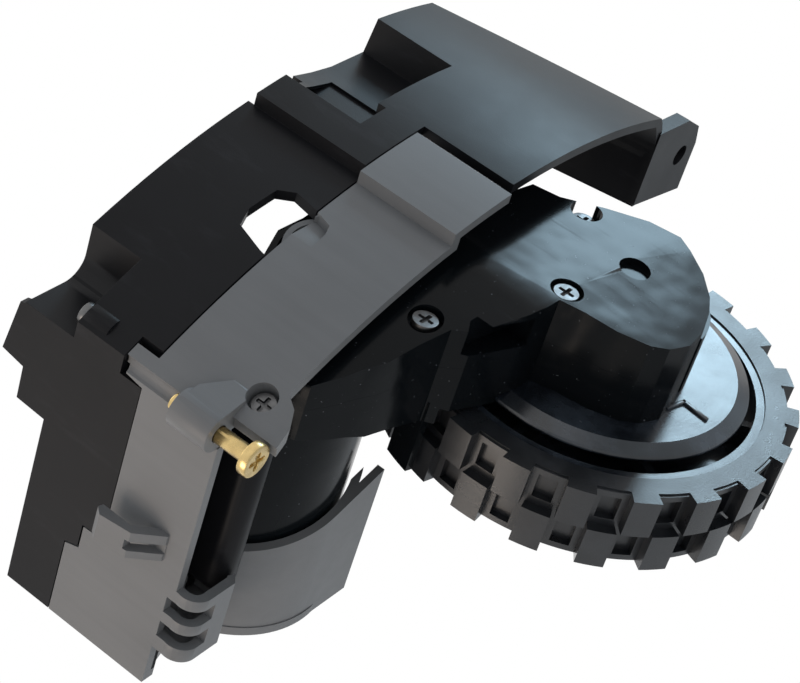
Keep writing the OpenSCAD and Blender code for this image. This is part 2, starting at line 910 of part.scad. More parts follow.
module end_wall() {
    difference() {
        union() {
            slab(bay_y, bay_y + wall_t) polygon([[side_x - 0.2, 25.6], [71.7, 25.6], [68.7, 27.4],
                [56, 31], [52, 47], [side_x - 0.2, 47]]);
            slab(bay_y, bay_y + wall_t) polygon([[pivot[0] - 19, 30], [30, 26], [30, 47],
                [pivot[0] - 19, 47]]);
        }
        bar(pivot, 10, -60, 0);
    }
}

// Ring that carries the inboard end of the motor
module bearing_plate() {
    difference() {
        bar(pivot, 19.2, bay_y, bay_y + wall_t);
        bar(pivot, 7.6 + run_gap, -60, 0);
    }
}

// Curved cradle under the motor with its slanted outboard edge
module cradle() {
    intersection() {
        slab(bay_y, 0) difference() {
            union() {
                translate(pivot) circle(r = cradle_r + 1.5);
                translate([pivot[0] - 12.1, pivot[1] - cradle_r - 1.5]) square([12.1, 1.5]);
            }
            translate(pivot) circle(r = cradle_r);
            translate([0, pivot[1] - 8]) square([100, 60]);
            translate([-10, pivot[1] - 16]) square([45, 60]);
        }
        linear_extrude(60) polygon([[20, -60], [20, -13], [28.5, -16.4], [44, -21.8], [54, -25.2],
            [62, -28], [62, -60]]);
    }
}

// Boss of the captive screw, and the plate below it
module screw_boss() {
    translate([74.9, 11.7, 24.2]) cylinder(r = 3.4, h = 7.9);
    intersection() {
        translate([0, 0, 24.2]) linear_extrude(8)
            polygon([[67.4, 16.2], [68.4, 16.3], [76.2, 14.85], [76, 11], [70, 11]]);
        slab(8, 20) polygon([[66, 24.2], [78, 24.2], [78, 31.6], [72.6, 31.4], [68, 28.2],
            [66, 27.4]]);
    }
    intersection() {
        slab(0, 30) polygon([[64.9, 20.2], [66.4, 17.6], [69, 15.9], [72.3, 15.4], [73.9, 16.2],
            [side_x, 18], [side_x, 25], [64.9, 25]]);
        difference() {
            plan_disc(wall_r, 15, 30);
            plan_disc(wall_r - wall_t - 0.6, 0, 60);
        }
    }
}

// Snap finger that leaves the side face aslant, stands up and hooks in front of the shell
module latch() {
    difference() {
        slab(-18.5, -13.1) polygon([[side_x - 0.6, 27.9], [side_x + 0.5, 28], [side_x + 4.7, 32.2],
            [side_x + 5.6, 38.2], [side_x + 4.4, 39.6], [side_x + 3.3, 39.4], [side_x + 3.3, 33.4],
            [side_x + 0.1, 30.3], [side_x - 0.6, 30.3]]);
        slab(-17, -15) polygon([[side_x + 0.2, 27], [side_x + 6, 33], [side_x + 2.4, 33],
            [side_x + 0.2, 30.9]]);
    }
}

module side_cuts() {
    box([69.2, -28.1, 10], [78, -24.8, 25.4]);
    box([69.2, -33.6, 10], [78, -30.3, 25.4]);
}

module screw_z(c, head_z, tip_z, r, head_r, head_h) {
    difference() {
        union() {
            translate([c[0], c[1], min(head_z, tip_z)]) cylinder(r = r, h = abs(head_z - tip_z));
            translate([c[0], c[1], head_z - (head_z < tip_z ? head_h : 0)])
                cylinder(r = head_r, h = head_h);
        }
        translate([c[0], c[1], head_z + (head_z < tip_z ? -head_h : head_h)]) {
            cube([head_r * 1.3, head_r * 0.3, 1.4], center = true);
            cube([head_r * 0.3, head_r * 1.3, 1.4], center = true);
        }
    }
}

module shell_screws() color(steel) place() {
    screw_z([71.2, 12.2], pocket_z, 49.6, 1.1, 2, 1.2);
    difference() {
        union() {
            on_boss(-7, 3.7) circle(r = 1.1);
            on_boss(-3.4, 1.2) circle(r = 2.1);
        }
        on_boss(-2.9, 2) square([2.8, 0.6], center = true);
        on_boss(-2.9, 2) square([0.6, 2.8], center = true);
    }
}

module captive_screw() color(brass) place() {
    difference() {
        union() {
            translate([74.9, 11.7, 17.4]) cylinder(r = 1.5, h = 16.2);
            translate([74.9, 11.7, 16.4]) cylinder(r = 3, h = 1.8);
        }
        translate([74.9, 11.7, 16.4]) {
            cube([3.6, 0.8, 1.4], center = true);
            cube([0.8, 3.6, 1.4], center = true);
        }
    }
}

module pivot_bush() color(brass) place() {
    difference() {
        bar(pivot, bush_r, 19.4, 23.4);
        bar(pivot, stub_r + run_gap, 0, 60);
    }
}

module microswitch() color(black) place() {
    difference() {
        union() {
            box([66, -42.6, 40], [72.4, -30.6, 46]);
            box([65.95, -34, 42.4], [66.1, -33, 43.6]);
            for (y = [-41, -36.6, -32.2]) box([68.8, y - 0.8, 45.9], [69.3, y + 0.8, 46.9]);
        }
        for (y = [-39.6, -33.6]) translate([60, y, 41.4]) rotate([0, 90, 0])
            cylinder(r = 0.9, h = 20);
        box([69.6, -43, 39], [69.8, -42.4, 47]);
        box([69.6, -30.8, 39], [69.8, -30, 47]);
    }
}

module switch_lever() color(steel) place() {
    box([65.4, -40.6, 39.4], [65.9, -32.6, 45]);
    bar([65.6, 45.2], 0.35, -40.6, -32.6);
    box([64.6, -40.6, 38.8], [65.9, -32.6, 39.4]);
    box([64.6, -38.6, 36.6], [65.1, -34.6, 38.9]);
}

spring_r = 9.2;
wire_r = 0.5;
coils = 3;
coil_pitch = 1.4;

// Section of a close coil, cut square to its axis: a bent lens as long as the wire is tall
function coil_edge(side, n) = [
    for (k = [-n:n])
        let (a = 360 * wire_r / coil_pitch * sin(18 * k) * side,
            r = spring_r + side * wire_r * cos(18 * k))
        [r * cos(a), r * sin(a)]];

module return_spring() color(steel) place() {
    h = coils * coil_pitch;
    translate([pivot[0], -39.7, pivot[1]]) rotate([90, 0, 0]) {
        linear_extrude(h, center = true, twist = -360 * coils, slices = 18 * coils, $fn = 12)
            polygon(concat(coil_edge(1, 5), coil_edge(-1, 4)));
    }
}

outer_shell();
chassis_frame();
shell_screws();
captive_screw();
pivot_bush();
microswitch();
switch_lever();
return_spring();
gearbox_case();
gearbox_cover();
flange_disc();
gearbox_screws();
gear_pins();
output_bearing();
ring_gear();
motor_housing();
motor_can();
motor_end_cap();
motor_terminals();
motor_rotor();
compound_gear_1();
compound_gear_2();
sun_gear();
planet_gear_1();
planet_gear_2();
planet_gear_3();
planet_carrier();
wheel_hub();
tyre();
wheel_screw();
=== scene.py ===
from math import atan2, radians, sqrt

import bpy
from mathutils import Matrix, Vector


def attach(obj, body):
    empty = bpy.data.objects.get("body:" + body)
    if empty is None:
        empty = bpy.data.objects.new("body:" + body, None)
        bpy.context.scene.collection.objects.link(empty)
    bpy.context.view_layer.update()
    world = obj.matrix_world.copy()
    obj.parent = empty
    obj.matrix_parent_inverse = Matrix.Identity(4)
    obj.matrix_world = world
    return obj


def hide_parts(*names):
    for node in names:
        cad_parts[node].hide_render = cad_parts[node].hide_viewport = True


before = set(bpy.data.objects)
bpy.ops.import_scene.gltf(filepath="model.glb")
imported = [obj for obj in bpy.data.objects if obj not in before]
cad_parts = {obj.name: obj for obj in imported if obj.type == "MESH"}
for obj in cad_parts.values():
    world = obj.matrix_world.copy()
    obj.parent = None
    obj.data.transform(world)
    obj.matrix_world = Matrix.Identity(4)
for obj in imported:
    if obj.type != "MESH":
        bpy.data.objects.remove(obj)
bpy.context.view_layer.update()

bl_info = {
    "name": "Drive Wheel Module Looks",
    "version": (1, 0, 0),
    "blender": (4, 2, 0),
    "location": "View3D > Sidebar > Wheel Module",
    "description": "Dresses the packed drive wheel module in moulded plastics, rubber, nylon and metals",
    "category": "Object",
}

MM = 0.001
# The wheel's centre in the module's frame, in millimetres
WHEEL_CENTRE = (54.6, -16.1, -21.0)
ALONG_Y = Vector((0, 1, 0))
ALONG_Z = Vector((0, 0, 1))


def at(x, y, z):
    """A point given from the wheel's centre in millimetres, as a point of the module's frame in metres."""
    return Vector([(a + b) * MM for a, b in zip((x, y, z), WHEEL_CENTRE)])


def colour(name, description, default):
    return bpy.props.FloatVectorProperty(
        name=name, description=description, subtype="COLOR", size=4, min=0, max=1, default=default)


def length(name, description, default, low, high):
    return bpy.props.FloatProperty(
        name=name, description=description, subtype="DISTANCE", unit="LENGTH", precision=5,
        default=default * MM, min=low * MM, max=high * MM)


class ModuleLooks(bpy.types.PropertyGroup):
    shell_black: colour("Shell black", "Colour of the satin outer shell", (0.006, 0.006, 0.007, 1))
    frame_grey: colour("Frame grey", "Colour of the slate-grey chassis frame", (0.142, 0.143, 0.146, 1))
    gearbox_black: colour("Gearbox black", "Colour of the glossy gearbox mouldings", (0.003, 0.004, 0.005, 1))
    hub_black: colour("Hub black", "Colour of the wheel hub and its flange disc", (0.006, 0.008, 0.011, 1))
    rubber_black: colour("Rubber black", "Colour of the tyre", (0.009, 0.010, 0.012, 1))
    nylon_white: colour("Nylon", "Colour of the gears inside", (0.72, 0.70, 0.64, 1))
    steel_tint: colour("Steel", "Colour of the screws, pins and motor can", (0.62, 0.62, 0.63, 1))
    brass_tint: colour("Brass", "Colour of the captive screw and the bush", (0.68, 0.50, 0.22, 1))
    edge: length("Edge round", "Width of the rounded edges of the mouldings", 0.35, 0.05, 0.8)
    rubber_edge: length("Tread edge", "Width of the rounded edges of the tread lugs", 0.35, 0.05, 0.8)
    grain: bpy.props.FloatProperty(
        name="Grain", description="Depth of the moulded grain against its usual depth",
        subtype="FACTOR", default=1, min=0, max=3)


# Materials. Noise scales are in cycles per metre, bump distances in metres

# Short names of the shader's inputs
INPUTS = {
    "base": "Base Color", "rough": "Roughness", "spec": "Specular IOR Level", "metal": "Metallic",
    "under": "Subsurface Weight", "normal": "Normal",
}
# Sockets of a Mix node that mixes colours
MIX_FACTOR, MIX_A, MIX_B, MIX_RESULT = 0, 6, 7, 2
# The middle part of a noise, over which most effects rise
CLOUD = (0.3, 0.7)
# Dust on the glossy mouldings, and a blue-grey on the hub that is partly dust and partly painted pale-blue
# sheen
PALE_DUST = (0.22, 0.23, 0.25, 1)
BLUE_DUST_AND_SHEEN = (0.10, 0.12, 0.15, 1)
# What scratches and bloom add to the roughness
SCRATCH_ROUGH = 0.16
BLOOM_ROUGH = 0.14


class Nodes:
    """A short way to write down one material's node tree."""

    def __init__(self, name):
        self.material = bpy.data.materials.new(name)
        self.material.use_nodes = True
        self.tree = self.material.node_tree
        self.shader = self.tree.nodes["Principled BSDF"]
        self.place = self.add("ShaderNodeTexCoord").outputs["Object"]

    def add(self, kind, **values):
        node = self.tree.nodes.new(kind)
        for key, value in values.items():
            setattr(node, key, value)
        return node

    def link(self, a, b):
        self.tree.links.new(a, b)

    def fill(self, socket, value):
        """Links a socket to the value, or writes the value into it."""
        if hasattr(value, "is_linked"):
            self.link(value, socket)
        else:
            socket.default_value = value

    def stretched(self, scale):
        mapping = self.add("ShaderNodeMapping")
        mapping.inputs["Scale"].default_value = scale
        self.link(self.place, mapping.inputs["Vector"])
        return mapping.outputs["Vector"]

    def noise(self, scale, detail=3.0, rough=0.55, vector=None):
        node = self.add("ShaderNodeTexNoise")
        node.inputs["Scale"].default_value = scale
        node.inputs["Detail"].default_value = detail
        node.inputs["Roughness"].default_value = rough
        self.link(vector or self.place, node.inputs["Vector"])
        return node.outputs["Fac"]

    def ranged(self, value, span, onto=(0, 1)):
        """Moves a value from one span onto another."""
        node = self.add("ShaderNodeMapRange")
        for key, number in zip(("From Min", "From Max", "To Min", "To Max"), span + onto):
            node.inputs[key].default_value = number
        self.link(value, node.inputs["Value"])
        return node.outputs["Result"]

    def mixed(self, factor, a, b):
        node = self.add("ShaderNodeMix", data_type="RGBA")
        self.link(factor, node.inputs[MIX_FACTOR])
        self.fill(node.inputs[MIX_A], a)
        self.fill(node.inputs[MIX_B], b)
        return node.outputs[MIX_RESULT]

    def bumped(self, height, distance, strength, under=None):
        node = self.add("ShaderNodeBump")
        node.inputs["Distance"].default_value = distance
        node.inputs["Strength"].default_value = strength
        self.link(height, node.inputs["Height"])
        if under:
            self.link(under, node.inputs["Normal"])
        return node.outputs["Normal"]

    def set(self, **values):
        for key, value in values.items():
            self.fill(self.shader.inputs[INPUTS[key]], value)
        return self.material


def lighter(tint, by):
    return tuple(min(1.0, c * by) for c in tint[:3]) + (1,)


def satin_black(tint, grain):
    """Satin moulded plastic with a fine spark-eroded grain and faint handling marks."""
    n = Nodes("shell_plastic")
    cloud = n.noise(38, detail=4)
    marks = n.noise(260, detail=5, rough=0.7, vector=n.stretched((1, 1, 0.25)))
    scuff = n.ranged(marks, (0.56, 0.78))
    base = n.mixed(n.ranged(cloud, CLOUD), tint, lighter(tint, 1.5))
    base = n.mixed(scuff, base, lighter(tint, 2.6))
    fine = n.bumped(n.noise(5200, detail=2), 0.00002 * grain, 0.55)
    wave = n.bumped(n.noise(55, detail=2), 0.0004 * grain, 0.25, fine)
    return n.set(base=base, rough=n.ranged(cloud, CLOUD, (0.30, 0.42)), spec=0.13, normal=wave)


def slate_grey(tint, grain):
    """Slate-grey moulded plastic with faint flow lines down the wall."""
    n = Nodes("frame_plastic")
    flow = n.noise(420, detail=4, rough=0.6, vector=n.stretched((1, 1, 0.06)))
    cloud = n.noise(24)
    base = n.mixed(n.ranged(flow, (0.35, 0.65)), lighter(tint, 0.96), lighter(tint, 1.05))
    base = n.mixed(n.ranged(cloud, (0.35, 0.7), (0, 0.5)), base, lighter(tint, 1.35))
    fine = n.bumped(n.noise(4600, detail=2), 0.00002 * grain, 0.6)
    lines = n.bumped(flow, 0.00004 * grain, 0.15, fine)
    return n.set(base=base, rough=n.ranged(cloud, CLOUD, (0.36, 0.48)), spec=0.3, normal=lines)


def piano_black(name, tint, rough, wave, dust):
    """Glossy moulded plastic: a slow waviness in the surface, fine scratches and a little dust."""
    n = Nodes(name)
    scratch = n.ranged(n.noise(900, rough=0.6, vector=n.stretched((1, 0.2, 0.06))), (0.6, 0.82))
    speck = n.ranged(n.noise(1500, detail=2, rough=0.5), (0.72, 0.8), (0, dust))
    base = n.mixed(speck, tint, PALE_DUST)
    slow = n.bumped(n.noise(70, detail=2), 0.0006, wave)
    scratched = n.bumped(scratch, 0.00001, 0.35, slow)
    dull = n.ranged(scratch, (0, 1), (rough, rough + SCRATCH_ROUGH))
    return n.set(base=base, rough=dull, spec=0.11, normal=scratched)


def hub_black(tint):
    """Semi-gloss plastic with blue-grey patches, partly dust and partly painted pale-blue sheen, and scuffs
    that run round the wheel.
    """
    n = Nodes("hub_plastic")
    centre = n.add("ShaderNodeMapping")
    centre.inputs["Location"].default_value = tuple(-c for c in at(0, 0, 0))
    n.link(n.place, centre.inputs["Vector"])
    rings = n.add("ShaderNodeTexWave", wave_type="RINGS", rings_direction="Y")
    rings.inputs["Scale"].default_value = 330
    rings.inputs["Distortion"].default_value = 5
    rings.inputs["Detail"].default_value = 3
    n.link(centre.outputs["Vector"], rings.inputs["Vector"])
    cloud = n.noise(60, detail=5, rough=0.65)
    # Blue-grey patches from the cloud: partly dust, partly painted pale-blue sheen
    dust_and_sheen = n.ranged(cloud, (0.42, 0.74), (0, 0.5))
    base = n.mixed(dust_and_sheen, tint, BLUE_DUST_AND_SHEEN)
    fine = n.bumped(rings.outputs["Fac"], 0.00001, 0.12)
    wave = n.bumped(n.noise(90, detail=2), 0.0003, 0.2, fine)
    return n.set(base=base, rough=n.ranged(cloud, CLOUD, (0.18, 0.30)), spec=0.7, normal=wave)


def tyre_rubber(tint):
    """Moulded rubber: fine grain, and lighter patches that are partly dull bloom and partly painted sheen."""
    n = Nodes("tyre_rubber")
    cloud = n.noise(95, detail=5, rough=0.6)
    # Lighter patches from the cloud: partly rubber bloom, partly painted sheen
    bloom = n.ranged(cloud, (0.45, 0.78), (0, 0.7))
    base = n.mixed(bloom, tint, lighter(tint, 2.8))
    fine = n.bumped(n.noise(3300), 0.00004, 0.6)
    return n.set(base=base, rough=n.ranged(cloud, CLOUD, (0.25, 0.36)), spec=0.64, normal=fine)


def milky_nylon(tint):
    """Natural nylon of the gears."""
    n = Nodes("gear_nylon")
    cloud = n.noise(140)
    base = n.mixed(cloud, lighter(tint, 0.92), tint)
    dull = n.ranged(cloud, CLOUD, (0.34, 0.46))
    fine = n.bumped(n.noise(2500, detail=2), 0.00002, 0.4)
    return n.set(base=base, rough=dull, spec=0.5, under=0.12, normal=fine)


def turned_metal(name, tint, rough, lines):
    """Plated or turned metal with fine tool lines and a duller bloom in patches."""
    n = Nodes(name)
    cloud = n.noise(420, detail=4, rough=0.6)
    tool = n.noise(2400, detail=2, rough=0.5, vector=n.stretched((1, 1, 0.05)))
    base = n.mixed(n.ranged(cloud, (0.35, 0.75)), tint, lighter(tint, 0.66))
    dull = n.ranged(cloud, CLOUD, (rough, rough + BLOOM_ROUGH))
    return n.set(base=base, metal=1.0, rough=dull, normal=n.bumped(tool, 0.00001 * lines, 0.5))


def all_finishes(looks):
    black, steel = tuple(looks.gearbox_black), tuple(looks.steel_tint)
    return {
        "shell": satin_black(tuple(looks.shell_black), looks.grain),
        "frame": slate_grey(tuple(looks.frame_grey), looks.grain),
        "gearbox": piano_black("gearbox_plastic", black, rough=0.16, wave=0.35, dust=0.5),
        "motor": piano_black("motor_plastic", lighter(black, 1.3), rough=0.16, wave=0.45, dust=0.4),
        "hub": hub_black(tuple(looks.hub_black)),
        "rubber": tyre_rubber(tuple(looks.rubber_black)),
        "nylon": milky_nylon(tuple(looks.nylon_white)),
        "steel": turned_metal("plated_steel", steel, rough=0.22, lines=1.0),
        "screws": turned_metal("screw_steel", lighter(steel, 0.25), rough=0.3, lines=1.0),
        "spring": turned_metal("spring_steel", lighter(steel, 0.7), rough=0.26, lines=0.6),
        "brass": turned_metal("screw_brass", tuple(looks.brass_tint), rough=0.2, lines=1.0),
    }


NODE_FINISH = {
    "outer_shell": "shell", "chassis_frame": "frame", "shell_screws": "screws", "captive_screw": "brass",
    "pivot_bush": "brass", "microswitch": "motor", "switch_lever": "spring", "return_spring": "spring",
    "gearbox_case": "gearbox", "gearbox_cover": "gearbox", "flange_disc": "hub", "gearbox_screws": "screws",
    "gear_pins": "steel", "output_bearing": "steel", "ring_gear": "gearbox", "motor_housing": "motor",
    "motor_can": "steel", "motor_end_cap": "motor", "motor_terminals": "brass", "motor_rotor": "steel",
    "compound_gear_1": "nylon", "compound_gear_2": "nylon", "sun_gear": "nylon", "planet_gear_1": "nylon",
    "planet_gear_2": "nylon", "planet_gear_3": "nylon", "planet_carrier": "steel", "wheel_hub": "hub",
    "tyre": "rubber", "wheel_screw": "steel",
}
# Filled by the first operator
FINISHES = {}


def paint(piece, finish):
    piece.data.materials.clear()
    piece.data.materials.append(FINISHES[finish])


# Modelling

# How a CAD mesh is merged, cleaned and rounded. The distance is in metres
MERGE_DISTANCE = 0.000002
FLAT_ANGLE = radians(0.6)
SHARP_ANGLE = radians(32)
SMOOTH_ANGLE = radians(40)
EDGE_SEGMENTS = 2
# The smooth angle of the pieces that are made here
TRIM_SMOOTH_ANGLE = radians(30)


def none_selected():
    if bpy.context.object and bpy.context.object.mode != "OBJECT":
        bpy.ops.object.mode_set(mode="OBJECT")
    bpy.ops.object.select_all(action="DESELECT")


def only(piece):
    none_selected()
    piece.select_set(True)
    bpy.context.view_layer.objects.active = piece


def apply_all(piece):
    only(piece)
    for modifier in list(piece.modifiers):
        bpy.ops.object.modifier_apply(modifier=modifier.name)


def finished(piece, name, finish, body):
    """Names and paints a piece, puts its place into its mesh and hangs it on its body."""
    only(piece)
    piece.name = name
    bpy.ops.object.transform_apply(location=True, rotation=True, scale=True)
    paint(piece, finish)
    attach(piece, body)
    return piece


def rounded_copy(node, name, width, shape=None):
    """A merged copy of a CAD node with rounded edges. A shape function changes it before it is shaded."""
    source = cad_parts[node]
    piece = bpy.data.objects.new(name, source.data.copy())
    bpy.context.scene.collection.objects.link(piece)
    piece.matrix_world = source.matrix_world
    only(piece)
    bpy.ops.object.mode_set(mode="EDIT")
    bpy.ops.mesh.select_all(action="SELECT")
    bpy.ops.mesh.remove_doubles(threshold=MERGE_DISTANCE)
    bpy.ops.mesh.select_all(action="SELECT")
    bpy.ops.mesh.dissolve_limited(angle_limit=FLAT_ANGLE)
    bpy.ops.mesh.customdata_custom_splitnormals_clear()
    bpy.ops.object.mode_set(mode="OBJECT")
    bevel = piece.modifiers.new("edge", "BEVEL")
    bevel.width = width
    bevel.segments = EDGE_SEGMENTS
    bevel.limit_method = "ANGLE"
    bevel.angle_limit = SHARP_ANGLE
    bevel.miter_outer = "MITER_ARC"
    bevel.use_clamp_overlap = True
    apply_all(piece)
    if shape:
        shape(piece)
    bpy.ops.object.shade_smooth_by_angle(angle=SMOOTH_ANGLE)
    true_round(piece)
    return piece


# The crest line on the gearbox cover, the way the lobe falls from it, and its fall per length
CREST = at(12.3, 27.3, 3.0)
LOBE_WAY = Vector((0.109, 0, -0.994))
LOBE_FALL = 0.07
# Faces that look up this much and lie this near the crest's height are the cover's top
TOP_FACING = 0.99
TOP_DEPTH = 0.1 * MM
# Vertices beyond the crest and this near its height, with the rounded edge, are tilted
CREST_WIDTH = 0.05 * MM
TILTED_DEPTH = 0.8 * MM


def lobe_slope(piece):
    """Cuts the cover's top along its crest and tilts the lobe's side of it."""
    mesh = piece.data
    only(piece)
    for face in mesh.polygons:
        face.select = face.normal.y > TOP_FACING and face.center.y > CREST.y - TOP_DEPTH
    bpy.ops.object.mode_set(mode="EDIT")
    bpy.ops.mesh.select_mode(type="FACE")
    bpy.ops.mesh.bisect(plane_co=CREST, plane_no=LOBE_WAY)
    bpy.ops.object.mode_set(mode="OBJECT")
    for vertex in mesh.vertices:
        away = (vertex.co - CREST).dot(LOBE_WAY)
        if away > CREST_WIDTH and vertex.co.y > CREST.y - TILTED_DEPTH:
            vertex.co.y -= away * LOBE_FALL


# Axes of the round walls: the robot's own, the wheel's and the arm's pivot
ROUND_AXES = (
    (at(0.5, -111.3, 0), ALONG_Z),
    (at(0, 0, 0), ALONG_Y),
    (at(40.541, 0, 37.019), ALONG_Y),
)
# A face that is wider than this, in metres, is a wall. A narrower one belongs to a rounded edge
WALL_WIDTH = 0.0007
# Cosines between normals: of walls that shade as one, of one and the same plane, of an edge and the
# wall that it follows, and of a face and its spoke from the axis
ONE_WALL = 0.94
ONE_PLANE = 0.9999
FOLLOWS_WALL = 0.6
FACES_OUT = 0.99
# A corner where this many planes meet keeps the normal of its own face
CROWDED_CORNER = 4
# A round face leans at most this much along its axis, keeps its radius within this much, isn't
# nearer to the axis than this, both in metres, and spans at most twice this angle
AXIS_LEAN = 0.03
RADIUS_SPREAD = 0.00004
LEAST_RADIUS = 0.002
HALF_SPAN = radians(8)


def true_round(piece):
    """Sets the normals of walls to their plane or cylinder, and lets the rounded edges follow them."""
    mesh = piece.data
    normals = [n.vector.copy() for n in mesh.corner_normals]
    walls = set()
    for face in mesh.polygons:
        points = [mesh.vertices[v].co for v in face.vertices]
        longest = max((a - b).length for a, b in zip(points, points[1:] + points[:1]))
        if face.area / longest > WALL_WIDTH:
            walls.add(face.index)
    beside = {}
    for index in walls:
        for v in mesh.polygons[index].vertices:
            beside.setdefault(v, []).append(mesh.polygons[index].normal)
    for index in walls:
        face = mesh.polygons[index]
        for v, loop in zip(face.vertices, face.loop_indices):
            near = []
            for other in beside[v]:
                if other.dot(face.normal) > ONE_WALL and all(other.dot(n) < ONE_PLANE for n in near):
                    near.append(other)
            crowded = len(near) >= CROWDED_CORNER
            normals[loop] = face.normal.copy() if crowded else sum(near, Vector()).normalized()
    for point, axis in ROUND_AXES:
        for face in mesh.polygons:
            if abs(face.normal.dot(axis)) > AXIS_LEAN:
                continue
            spokes = []
            for v in face.vertices:
                spoke = mesh.vertices[v].co - point
                spokes.append(spoke - axis * spoke.dot(axis))
            reach = [s.length for s in spokes]
            if max(reach) - min(reach) > RADIUS_SPREAD or min(reach) < LEAST_RADIUS:
                continue
            middle = sum(spokes, Vector()) / len(spokes)
            across = face.normal.dot(middle.normalized())
            if abs(across) < FACES_OUT or max(abs(s.angle(middle)) for s in spokes) > HALF_SPAN:
                continue
            for loop, spoke in zip(face.loop_indices, spokes):
                normals[loop] = spoke.normalized() * (1 if across > 0 else -1)
    known = {}
    for index in walls:
        face = mesh.polygons[index]
        for v, loop in zip(face.vertices, face.loop_indices):
            known.setdefault(v, []).append(normals[loop])
    for face in mesh.polygons:
        if face.index not in walls:
            for v, loop in zip(face.vertices, face.loop_indices):
                near = max(known.get(v, []), key=face.normal.dot, default=None)
                if near is not None and near.dot(face.normal) > FOLLOWS_WALL:
                    normals[loop] = near
    mesh.normals_split_custom_set(normals)


class WM_OT_finishes(bpy.types.Operator):
    """Makes every finish and gives each CAD node its own"""
    bl_idname = "wheel_module.finishes"
    bl_label = "Finishes"

    def execute(self, context):
        FINISHES.clear()
        FINISHES.update(all_finishes(context.scene.wheel_module))
        for node, finish in NODE_FINISH.items():
            paint(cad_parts[node], finish)
        return {"FINISHED"}


class WM_OT_mouldings(bpy.types.Operator):
    """Rounds the edges of the shell, the frame, the gearbox, the motor housing, the hub and the screws"""
    bl_idname = "wheel_module.mouldings"
    bl_label = "Mouldings"

    def execute(self, context):
        edge = context.scene.wheel_module.edge
        for node, name, finish, body, slot, width in (
                ("outer_shell", "shell_moulding", "shell", "chassis", "shell_plastic", edge * 0.8),
                ("chassis_frame", "frame_moulding", "frame", "chassis", "frame_plastic", edge * 0.7),
                ("gearbox_cover", "gearbox_cover_moulding", "gearbox", "arm", "gearbox_plastic", edge * 1.3),
                ("gearbox_case", "gearbox_case_moulding", "gearbox", "arm", "gearbox_plastic", edge),
                ("flange_disc", "flange_disc_moulding", "hub", "arm", "gearbox_plastic", edge),
                ("motor_housing", "motor_housing_moulding", "motor", "arm", "gearbox_plastic", edge * 1.2),
                ("captive_screw", "captive_screw_turned", "brass", "captive_screw", "screw_brass", edge),
                ("gearbox_screws", "gearbox_screws_turned", "screws", "arm", "plated_steel", edge * 0.5),
                ("shell_screws", "shell_screws_turned", "screws", "chassis", "plated_steel", edge * 0.5),
                ("wheel_hub", "wheel_hub_moulding", "hub", "wheel", "hub_plastic", edge)):
            piece = rounded_copy(node, name, width, shape=lobe_slope if node == "gearbox_cover" else None)
            finished(piece, name, finish, body)
            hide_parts(node)
        return {"FINISHED"}


# The angled rib on the flange disc, in millimetres: the X and Z of its corner and its two ends, its
# width and height, how far it sinks into the disc, its rounded edge and the disc's top
RIB_CORNER = (0.4, -17.1)
RIB_ENDS = ((0.9, -21.9), (4.2, -16.2))
RIB_WIDE = 0.8
RIB_TALL = 0.5
RIB_SINK = 0.05
RIB_EDGE = 0.15
DISC_TOP = 10.0


class WM_OT_disc_rib(bpy.types.Operator):
    """Stands the small angled rib on the flange disc"""
    bl_idname = "wheel_module.disc_rib"
    bl_label = "Disc rib"

    def execute(self, context):
        for number, end in enumerate(RIB_ENDS, 1):
            dx, dz = end[0] - RIB_CORNER[0], end[1] - RIB_CORNER[1]
            mid_x, mid_z = (end[0] + RIB_CORNER[0]) / 2, (end[1] + RIB_CORNER[1]) / 2
            none_selected()
            bpy.ops.mesh.primitive_cube_add(size=1)
            piece = bpy.context.object
            piece.scale = ((sqrt(dx * dx + dz * dz) + RIB_WIDE) * MM, RIB_TALL * MM, RIB_WIDE * MM)
            piece.rotation_euler = (0, atan2(-dz, dx), 0)
            piece.location = at(mid_x, DISC_TOP + RIB_TALL / 2 - RIB_SINK, mid_z)
            bpy.ops.object.transform_apply(location=True, rotation=True, scale=True)
            edge = piece.modifiers.new("edge", "BEVEL")
            edge.width = RIB_EDGE * MM
            edge.segments = EDGE_SEGMENTS
            apply_all(piece)
            bpy.ops.object.shade_smooth_by_angle(angle=TRIM_SMOOTH_ANGLE)
            finished(piece, f"disc_rib_{number}", "hub", "arm")
        return {"FINISHED"}


# The stepped housing that closes the gearbox at the wheel end, in millimetres: radius, foot and top
# of each step, its wall and lid, the X where it ends, and how far its room is cut beyond its foot
HOUSING_STEPS = ((15.1, 9.9, 21.6), (12.2, 21.0, 26.2))
HOUSING_WALL = 0.55
HOUSING_LID = 0.3
HOUSING_EDGE_X = -1.6
HOUSING_PASS = 2
# The side of the cube that cuts the rest of the housing away, in millimetres
CUTTER = 100
DRUM_SIDES = 96


def standing_drum(radius, low, high):
    """A cylinder along Y about the wheel's axis between two heights in millimetres."""
    none_selected()
    bpy.ops.mesh.primitive_cylinder_add(vertices=DRUM_SIDES, radius=radius * MM, depth=(high - low) * MM)
    drum = bpy.context.object
    drum.rotation_euler = (radians(90), 0, 0)
    drum.location = at(0, (low + high) / 2, 0)
    bpy.ops.object.transform_apply(location=True, rotation=True, scale=True)
    return drum


def merge_with(piece, tools, operation):
    """Joins tools to a piece, or cuts them out of it, and takes the tools away."""
    for tool in tools:
        step = piece.modifiers.new("step", "BOOLEAN")
        step.operation = operation
        step.solver = "EXACT"
        step.object = tool
    apply_all(piece)
    for tool in tools:
        bpy.data.objects.remove(tool)


